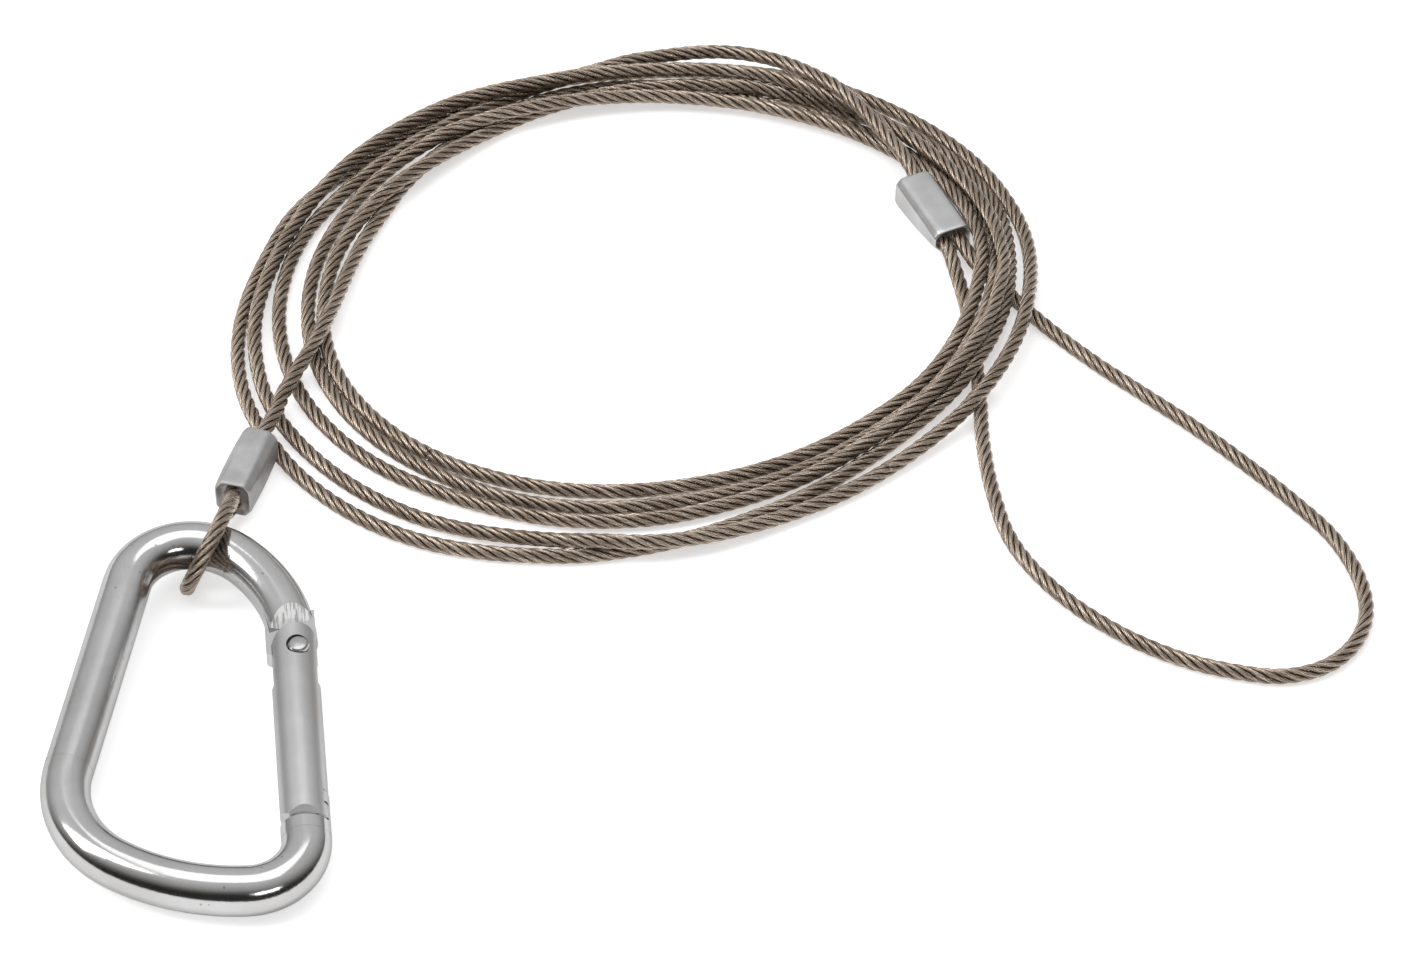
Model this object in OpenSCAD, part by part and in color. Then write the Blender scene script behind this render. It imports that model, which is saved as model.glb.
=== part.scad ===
// Wire-rope safety lanyard.
// A twisted steel rope wound in a loose coil. One end is pressed into a small
// eye that holds a solid-gate D carabiner, the other end into a large soft eye.
// Origin: centre of the carabiner's footprint, on the surface it lies on.
// X runs across the carabiner, Y along it towards the rope, Z up.

/* [Carabiner] */
// Diameter of the round bar the carabiner is bent from
bar_d = 8; // [7.6:0.1:8.4]
// Lean of the long spine away from the gate line, in degrees
spine_lean = 15; // [14:0.5:16]
// Bend radius of the wide corner under the spine
r_corner = 18.5; // [17:0.5:20]
// Bend radius of the long wide end
r_base = 37; // [35:1:39]
// Bend radius under the nose
r_nose = 9; // [8.5:0.5:10]
// Bend radius of the shoulder above the hinge
r_shoulder = 28.5; // [27:0.5:30]
// Bend radius of the narrow bow, gate side
r_bow = 13; // [12:0.5:14]
// Bend radius of the narrow bow, spine side
r_top = 10; // [9:0.5:11]
// Tilt of the carabiner where it lies over its own eye, in degrees
tilt = 2.45; // [2.4:0.01:2.5]

/* [Gate] */
// Diameter of the gate bar
gate_d = 7.8; // [7.6:0.1:7.8]
// Thickness of the flat tongue at the hinge
tongue_t = 3.1; // [2.8:0.1:3.2]
// Gap between the tongue and each fork cheek
fork_gap = 0.1; // [0.08:0.01:0.15]
// Diameter of the hinge rivet
rivet_d = 2.6; // [2.4:0.1:2.8]
// Radius of the gate's nose end, measured from the rivet
gate_reach = 34.4; // [34:0.1:34.6]
// Gap between the gate's end and the nose shoulder
nose_gap = 0.8; // [0.6:0.1:1.0]
// Diameter of the plunger stem
plunger_d = 2.6; // [2.4:0.1:2.8]

/* [Rope] */
// Diameter over the strands of the nominal 2.5 mm rope
rope_d = 2.6; // [2.4:0.05:2.7]
// Length of the ferrule at the carabiner end
ferrule_l = 14; // [13.5:0.5:14.5]
// Length of the ferrule at the large eye
ferrule2_l = 15.5; // [15:0.5:16]
// Width of the pressed ferrules across their two strands
ferrule_w = 6.4; // [6.2:0.1:6.6]
// Size of the pressed ferrules along their two strands
ferrule_h = 7.2; // [7:0.1:7.3]
// Thickness of the flatter ferrule at the large eye
ferrule2_w = 5.8; // [5.6:0.1:5.8]

/* [Hidden] */
$fn = 64;
bar_r = bar_d / 2;
gate_r = gate_d / 2;
big = 60;

// ---- centreline of the carabiner bar, headings in degrees, all turns left ----
function head(a) = [cos(a), sin(a)];
function turn(r, a0, a1) = r * [sin(a1) - sin(a0), cos(a0) - cos(a1)];
h0 = -90 - spine_lean;      // heading down the spine
h1 = -37;                   // wide corner to base
h2 = -3;                    // base to nose corner
h3 = 90;                    // gate line, straight up
h4 = 133;                   // shoulder to bow
h5 = 169;                   // bow to top
h6 = 270 - spine_lean;      // top back to spine
closing = turn(r_corner, h0, h1) + turn(r_base, h1, h2) + turn(r_nose, h2, h3)
        + turn(r_shoulder, h3, h4) + turn(r_bow, h4, h5) + turn(r_top, h5, h6);
spine_l = -closing[0] / cos(h0);
gateline_l = -closing[1] - spine_l * sin(h0);
q0 = [0, 0];
q1 = q0 + spine_l * head(h0);
q2 = q1 + turn(r_corner, h0, h1);
q3 = q2 + turn(r_base, h1, h2);
q4 = q3 + turn(r_nose, h2, h3);
q5 = q4 + [0, gateline_l];
q6 = q5 + turn(r_shoulder, h3, h4);
q7 = q6 + turn(r_bow, h4, h5);
x_lo = q1[0] + turn(r_corner, h0, -90)[0];
x_hi = q4[0];
y_lo = q3[1] + turn(r_nose, h2, 0)[1];
y_hi = q7[1] + turn(r_top, h5, 180)[1];
mid = [(x_lo + x_hi) / 2, (y_lo + y_hi) / 2];
p0 = q0 - mid;  p1 = q1 - mid;  p2 = q2 - mid;  p3 = q3 - mid;
p4 = q4 - mid;  p5 = q5 - mid;  p6 = q6 - mid;  p7 = q7 - mid;
half_y = (y_hi - y_lo) / 2;
gx = p4[0];                       // x of the gate line
lift = bar_r + half_y * sin(tilt); // height of the carabiner's own centre

// ---- hinge and latch, in the carabiner's own plane ----
piv = [gx + 0.8, 10];             // rivet axis
cheek = tongue_t / 2 + fork_gap;  // inside face of each fork cheek
boss_r = 2.9;                     // tongue rounding about the rivet
seat_z = 2.9;                     // height at which the rivet heads sit
slot_y = 3.4;                     // bottom of the fork slot
stem_x = gx - 0.9;                // plunger axis
bore_d = plunger_d + 0.1;
bore_y = -14;                     // bottom of the spring bore
shoulder_r = gate_reach + nose_gap;
head_in = 29.4;                   // nose head, radii about the rivet
head_out = 31.6;
head_z = 2.1;
neck_z = 1.1;
latch_x = gx - 1.9;               // inside face of the latch slot
ramp = [gx + 0.3, 16.0];          // foot of the milled ramp
ramp_dir = 109;

module place() { translate([0, 0, lift]) rotate([tilt, 0, 0]) children(); }
// Every other bend is drawn a hair thinner and runs a little way into its neighbours
module bend(p, r, a0, a1, thin = 0, lap = 0)
    translate([p[0], p[1], 0] + r * [-sin(a0), cos(a0), 0]) rotate([0, 0, a0 - 90 - lap])
        rotate_extrude(angle = a1 - a0 + 2 * lap) translate([r, 0]) circle(bar_r - thin);
module run(p, a, l)
    translate([p[0], p[1], 0]) rotate([0, 0, a]) rotate([0, 90, 0]) cylinder(h = l, r = bar_r);
module about_pivot(r, z0, z1) translate([piv[0], piv[1], z0]) cylinder(h = z1 - z0, r = r, $fn = 180);
module block(x0, x1, y0, y1, z0, z1) translate([x0, y0, z0]) cube([x1 - x0, y1 - y0, z1 - z0]);

// Wedge that mills one flat of the hinge tongue and its ramp
module mill()
    translate([ramp[0], ramp[1], 0]) rotate([0, 0, ramp_dir]) rotate([90, 0, 0])
        translate([0, 0, -12]) linear_extrude(height = 24)
            polygon([[-26, tongue_t / 2], [0, tongue_t / 2], [3.2, bar_r + 0.4], [3.2, 10], [-26, 10]]);

module tongue_outline() {
    translate([piv[0], piv[1]]) circle(boss_r);
    translate([gx - 4.4, piv[1] + 0.9]) square([piv[0] + boss_r - gx + 4.4, 8]);
    translate([gx - 3.5, piv[1]]) square([3.5 + 0.8, 2]);
    translate([gx - 3.5, piv[1] + 0.9]) circle(0.9);
}

module nose() {
    // stub of full bar up to the shoulder, which is cut round the rivet
    difference() {
        translate([gx, p4[1], 0]) rotate([-90, 0, 0]) cylinder(h = 12, r = bar_r);
        about_pivot(shoulder_r, -10, 10);
    }
    // neck and cross head, kept inside the bar's round outside
    intersection() {
        difference() {
            about_pivot(shoulder_r + 0.5, -neck_z, neck_z);
            about_pivot(head_out - 0.5, -10, 10);
        }
        translate([gx, p4[1], 0]) rotate([-90, 0, 0]) cylinder(h = 16, r = bar_r);
        block(latch_x + 0.25, gx + 8, p4[1], p4[1] + 16, -8, 8);
    }
    intersection() {
        difference() {
            about_pivot(head_out, -head_z, head_z);
            about_pivot(head_in, -10, 10);
        }
        translate([gx, p4[1], 0]) rotate([-90, 0, 0]) cylinder(h = 16, r = bar_r);
        block(latch_x + 0.25, gx + 8, p4[1], p4[1] + 16, -8, 8);
    }
}

module carabiner_body() color([0.80, 0.80, 0.81]) place() {
    difference() {
        union() {
            difference() {
                union() {
                    run(p0, h0, spine_l);
                    bend(p1, r_corner, h0, h1, 0.02, 0.5);
                    bend(p2, r_base, h1, h2);
                    bend(p3, r_nose, h2, h3, 0.02, 0.8);
                    bend(p5, r_shoulder, h3, h4, 0.02, 0.4);
                    bend(p6, r_bow, h4, h5);
                    bend(p7, r_top, h5, h6, 0.02, 0.8);
                }
                mill();
                mirror([0, 0, 1]) mill();
                block(gx - 6, gx + 6, 5, piv[1] + 2.9, -6, 6);
            }
            translate([0, 0, -tongue_t / 2]) linear_extrude(height = tongue_t) tongue_outline();
        }
        translate([piv[0], piv[1], -6]) cylinder(h = 12, r = rivet_d / 2 + 0.03);
    }
    nose();
}

module gate() color([0.70, 0.70, 0.71]) place()
    difference() {
        // bar with its hinge end rounded about the rivet and its nose end cut about it
        intersection() {
            translate([gx, -30, 0]) rotate([-90, 0, 0]) cylinder(h = 50, r = gate_r);
            union() {
                about_pivot(4.7, -6, 6);
                intersection() {
                    block(gx - 6, gx + 6, -30, piv[1], -6, 6);
                    about_pivot(gate_reach, -6, 6);
                }
            }
        }
        // fork slot, open towards both sides
        block(gx - 6, gx + 6, slot_y, 20, -cheek, cheek);
        // rivet holes through both cheeks
        translate([piv[0], piv[1], -6]) cylinder(h = 12, r = rivet_d / 2 + 0.05);
        // seats sunk in both cheeks for the rivet's heads
        for (q = [0, 1]) mirror([0, 0, q]) translate([piv[0], piv[1], seat_z]) cylinder(h = 4, r = 1.95);
        // blind bore for the spring and plunger stem
        translate([stem_x, bore_y, 0]) rotate([-90, 0, 0]) cylinder(h = 20, r = bore_d / 2);
        // T-slot for the nose, open towards the outside
        intersection() {
            difference() {
                about_pivot(head_out + 0.25, -head_z - 0.2, head_z + 0.2);
                about_pivot(head_in - 0.3, -10, 10);
            }
            block(latch_x, gx + 8, -30, -10, -8, 8);
        }
        intersection() {
            about_pivot(40, -neck_z - 0.2, neck_z + 0.2);
            block(latch_x, gx + 8, -30, piv[1] - head_out + 0.5, -8, 8);
        }
        // chamfers on the nose end, top, underside and inner edge
        for (s = [1, -1]) translate([gx, piv[1] - gate_reach, s * 3.9]) rotate([s * 40, 0, 0])
            cube([12, 3.4, 1.6], center = true);
        translate([gx - 4.0, piv[1] - gate_reach, 0]) rotate([0, 0, -45]) cube([4, 2.6, 12], center = true);
    }

// Headed steel pin, its ends domed over the fork cheeks
module gate_rivet() color([0.62, 0.62, 0.63]) place() translate([piv[0], piv[1], 0]) {
    cylinder(h = 2 * seat_z + 0.4, r = rivet_d / 2, center = true);
    for (q = [0, 1]) mirror([0, 0, q]) rotate_extrude()
        polygon([[0, seat_z], [1.75, seat_z], [1.75, 3.35], [1.62, 3.72], [1.35, 3.97], [0.8, 4.12], [0, 4.17]]);
}

// Stem in the gate's bore with a finger that bears on the tongue
module gate_plunger() color([0.66, 0.62, 0.56]) place() {
    translate([stem_x, -0.4, 0]) rotate([-90, 0, 0]) cylinder(h = 6.9, r = plunger_d / 2);
    block(gx - 3.4, gx + 0.4, 6.1, 6.9, -1.45, 1.45);
    block(gx - 3.4, gx - 2.3, 6.1, piv[1] - 0.15, -1.45, 1.45);
}

// Compression spring behind the plunger: one closed wire, a ring at each end
function coil_at(t, r, turns, l) = [r * cos(360 * turns * t), r * sin(360 * turns * t), l * t];
spring_wire = 0.4;
spring_r = 0.95;
spring_l = -0.45 - bore_y;
spring_turns = 12;
module gate_spring() color([0.6, 0.6, 0.62]) place()
    translate([stem_x, bore_y, 0]) rotate([-90, 0, 0])
        sweep([for (i = [0:168]) coil_at(i / 168, spring_r, spring_turns, spring_l - spring_wire) + [0, 0, spring_wire / 2]],
              spring_wire / 2, [0, 0, 1], 6);

// ---- sweep of a round tube along points, framed by a reference direction ----
function unit(v) = v / norm(v);
function dir_at(p, i) = unit(i == 0 ? p[1] - p[0] : i == len(p) - 1 ? p[i] - p[i - 1] : p[i + 1] - p[i - 1]);
function ring_at(c, t, ref, r, n) =
    let (a = unit(ref - (ref * t) * t), b = cross(t, a))
    [for (k = [0:n - 1]) c + r * (cos(360 * (k + 0.5) / n) * a + sin(360 * (k + 0.5) / n) * b)];
module sweep(p, r, ref, n) {
    m = len(p);
    pts = [for (i = [0:m - 1]) each ring_at(p[i], dir_at(p, i), ref, r, n)];
    polyhedron(points = pts, faces = concat(
        [[for (k = [0:n - 1]) k]],
        [for (i = [0:m - 2]) for (k = [0:n - 1]) [i * n + k, (i + 1) * n + k, i * n + (k + 1) % n]],
        [for (i = [0:m - 2]) for (k = [0:n - 1]) [i * n + (k + 1) % n, (i + 1) * n + k, (i + 1) * n + (k + 1) % n]],
        [[for (k = [n - 1:-1:0]) (m - 1) * n + k]]));
}
// ---- the rope's route ----
strand = 1.35;                       // half the distance between two pressed strands
// carabiner-end ferrule: mouth centre and heading towards the mouth
f1_mouth = [10.1, 49.6, 3.7];
f1_head = [-0.385, -0.923, 0];
f1_top = f1_mouth - ferrule_l * f1_head;
// point on the bar that the eye goes round; the eye leans over, so its own upward direction is not vertical
bow_at = [5.81, 35.73, 7.08];
eye_dir = [-0.382, -0.924, 0];
eye_up = [0.347, -0.144, 0.927];
// small eye in its own plane: distance past the bar, height over the bar's centre
eye_bend = [[-11, -5.1], [-8, -5.8], [-4, -6.1], [0, -6.1], [2.5, -6], [4.8, -5.5], [6.6, -4], [7.4, -1.6], [7.2, 0.9],
            [6.1, 3.3], [3.7, 5.4], [0, 6.4], [-4.2, 5.4], [-8.8, 2], [-11.5, -0.1]];
function eye_pt(q) = bow_at + q[0] * eye_dir + q[1] * eye_up;
strand_up = [0, 0, strand];
eye_route = concat([f1_top - strand_up, (f1_top + f1_mouth) / 2 - strand_up, f1_mouth - strand_up],
                   [for (q = eye_bend) eye_pt(q)],
                   [f1_mouth + strand_up, (f1_top + f1_mouth) / 2 + strand_up, f1_top + strand_up]);
// lead from the ferrule up on to the coil
lead_route = [f1_top + strand_up, [16.9, 65.7, 5], [18.5, 69.4, 4.9], [20.3, 73.4, 4.8], [22.2, 78, 4.6], [23.8, 82, 4.6]];
// loose coil: middle, half sizes and height of its outer shape
coil_out_at = [83, 95.5];
coil_out = [66.5, 63.5];
coil_in_at = [85.2, 96.5];
coil_in = [57.5, 52];
coil_h = 6;
// large-eye ferrule: mouth centre, heading away from the coil, lift of its far end
f2_mouth = [138, 101, 2.95];
f2_head = [0.328, -0.945, 0];
f2_rise = 2;
f2_side = [0.945, 0.328, 0];
f2_top = f2_mouth - ferrule2_l * cos(f2_rise) * f2_head + [0, 0, ferrule2_l * sin(f2_rise)];
tail_route = [f2_top + strand * f2_side, [133.3, 118.9, 4], [132.2, 122.3, 4.6], [131, 126, 4.9], [129.8, 129.5, 4.9], [128.6, 132.5, 4.9]];
eye_loop = concat([f2_top + strand * f2_side, (f2_top + f2_mouth) / 2 + strand * f2_side, f2_mouth + strand * f2_side],
    [[141.5, 95.5, 2.2], [146, 88.5, 1.3], [151, 80, 1.3], [158, 70, 1.3], [165, 61.5, 1.3], [172, 53, 1.3], [179, 43.5, 1.3],
     [186, 33, 1.3], [191, 24, 1.3], [193.5, 14, 1.3], [193, 6, 1.3], [190, 0, 1.3], [184.5, -4.5, 1.3], [177, -6, 1.3],
     [169, -4, 1.3], [160.5, 0, 1.3], [151, 7.5, 1.3], [143, 17.5, 1.3], [138, 28.5, 1.3], [136.5, 40, 1.3], [136.5, 52, 1.3],
     [137.5, 63, 1.3], [138.2, 74, 1.3], [138.4, 85, 1.3], [137.8, 94, 1.6]],
    [f2_mouth - strand * f2_side, (f2_top + f2_mouth) / 2 - strand * f2_side, f2_top - strand * f2_side]);

// Pressed sleeve round two strands that lie one above the other
module sleeve(l, w, h) {
    hw = w / 2;
    hh = h / 2;
    difference() {
        intersection() {
            rotate([90, 0, 90]) linear_extrude(height = l)
                polygon([[-hw, -hh + 1.5], [-hw + 1, -hh], [hw - 1, -hh], [hw, -hh + 1.5],
                         [hw, hh - 1.5], [hw - 1, hh], [-hw + 1, hh], [-hw, hh - 1.5]]);
            translate([-0.6, 0, 0]) rotate([0, 90, 0]) cylinder(h = l + 1.2, r = norm([hw, hh]) - 0.6);
        }
        for (q = [-1, 1]) translate([-1, 0, q * strand]) rotate([0, 90, 0]) cylinder(h = l + 2, r = rope_d / 2);
        translate([-1, -0.9, -strand]) cube([l + 2, 1.8, 2 * strand]);
    }
}
module ferrule_carabiner_end() color([0.72, 0.72, 0.73])
    translate(f1_mouth) rotate([0, 0, atan2(-f1_head[1], -f1_head[0])]) sleeve(ferrule_l, ferrule_w, ferrule_h);
module ferrule_eye_end() color([0.78, 0.78, 0.79])
    translate(f2_mouth) rotate([0, 0, atan2(-f2_head[1], -f2_head[0])]) rotate([0, -f2_rise, 0]) rotate([90, 0, 0])
        sleeve(ferrule2_l, ferrule2_w, ferrule_h);

module rope_small_eye() color([0.45, 0.42, 0.39])
    sweep(eye_route, rope_d / 2, cross(eye_dir, eye_up), 8);
module rope_lead() color([0.45, 0.42, 0.39]) sweep(lead_route, rope_d / 2, [0, 0, 1], 8);
module rope_tail() color([0.45, 0.42, 0.39]) sweep(tail_route, rope_d / 2, [0, 0, 1], 8);
module rope_large_eye() color([0.45, 0.42, 0.39]) sweep(eye_loop, rope_d / 2, [0, 0, 1], 8);

// Outer shape of the wound turns: one closed oval ring with broken edges
function oval(at, h, grow, n) = [for (i = [0:n - 1]) at + [(h[0] + grow) * cos(360 * i / n), (h[1] + grow) * sin(360 * i / n)]];
module oval_ring(grow, h)
    linear_extrude(height = h) difference() {
        polygon(oval(coil_out_at, coil_out, grow, 72));
        polygon(oval(coil_in_at, coil_in, -grow, 72));
    }
module rope_coil() color([0.45, 0.42, 0.39]) {
    oval_ring(-1, coil_h);
    translate([0, 0, 1]) oval_ring(0, coil_h - 2);
}

carabiner_body();
gate();
gate_rivet();
gate_plunger();
gate_spring();
ferrule_carabiner_end();
ferrule_eye_end();
rope_small_eye();
rope_lead();
rope_coil();
rope_tail();
rope_large_eye();
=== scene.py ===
import math

import bpy
import numpy as np
from mathutils import Matrix, Vector


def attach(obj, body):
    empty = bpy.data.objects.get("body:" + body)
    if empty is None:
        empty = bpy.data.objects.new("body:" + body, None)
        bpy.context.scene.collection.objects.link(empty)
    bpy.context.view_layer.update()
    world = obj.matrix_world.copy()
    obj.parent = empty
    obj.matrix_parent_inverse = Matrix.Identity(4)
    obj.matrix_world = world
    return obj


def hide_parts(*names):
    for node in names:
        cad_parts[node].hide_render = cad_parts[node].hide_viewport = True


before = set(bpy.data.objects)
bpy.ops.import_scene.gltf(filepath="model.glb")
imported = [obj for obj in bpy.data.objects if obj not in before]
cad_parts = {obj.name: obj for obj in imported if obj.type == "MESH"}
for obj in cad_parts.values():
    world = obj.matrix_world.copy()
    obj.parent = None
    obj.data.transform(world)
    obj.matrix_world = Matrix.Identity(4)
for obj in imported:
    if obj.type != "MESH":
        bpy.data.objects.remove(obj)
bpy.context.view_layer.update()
MM = 0.001


# ------------------------------------------------------------------ camera
cam_data = bpy.data.cameras.new("camera")
cam_data.sensor_width = 36.0
cam_data.lens = 132.1
cam_data.clip_start = 0.05
cam_data.clip_end = 20
cam = bpy.data.objects.new("camera", cam_data)
bpy.context.scene.collection.objects.link(cam)
turn, dip = math.radians(6), math.radians(45)
ahead = Vector((math.sin(turn) * math.cos(dip), math.cos(turn) * math.cos(dip), -math.sin(dip)))
right = Vector((math.cos(turn), -math.sin(turn), 0))
above = right.cross(ahead)
cam.matrix_world = Matrix((
    (right.x, above.x, -ahead.x, 0.0251),
    (right.y, above.y, -ahead.y, -0.5645),
    (right.z, above.z, -ahead.z, 0.6166),
    (0, 0, 0, 1)))
bpy.context.scene.camera = cam

# ------------------------------------------------------------------ the rope's route, in millimetres
ROPE_D = 2.6
LAY = 14.3
PAIR = 1.35
UP = np.array([0.0, 0.0, 1.0])
bow = np.array([5.81, 35.73, 7.08])
eye_dir = np.array([-0.382, -0.924, 0.0])
eye_up = np.array([0.347, -0.144, 0.927])
f1_mouth = np.array([10.1, 49.6, 3.7])
f1_axis = np.array([-0.385, -0.923, 0.0])
F1_LEN = 14.0
f1_top = f1_mouth - F1_LEN * f1_axis
eye_bend = [bow + a * eye_dir + h * eye_up for a, h in [
    (-11, -5.1), (-8, -5.8), (-4, -6.1), (0, -6.1), (2.5, -6), (4.8, -5.5), (6.6, -4), (7.4, -1.6), (7.2, 0.9),
    (6.1, 3.3), (3.7, 5.4), (0, 6.4), (-4.2, 5.4), (-8.8, 2), (-11.5, -0.1)]]
small_eye = ([f1_top - PAIR * UP, (f1_top + f1_mouth) / 2 - PAIR * UP, f1_mouth - PAIR * UP] + eye_bend
             + [f1_mouth + PAIR * UP, (f1_top + f1_mouth) / 2 + PAIR * UP, f1_top + PAIR * UP])
f2_mouth = np.array([138.0, 101.0, 2.95])
f2_axis = np.array([0.328, -0.945, 0.0])
f2_side = np.array([0.945, 0.328, 0.0])
F2_LEN = 15.5
f2_rise = math.radians(2)
f2_top = f2_mouth - F2_LEN * math.cos(f2_rise) * f2_axis + F2_LEN * math.sin(f2_rise) * UP
lead = [(16.9, 65.7, 5.0), (18.5, 69.4, 4.9)]
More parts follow.
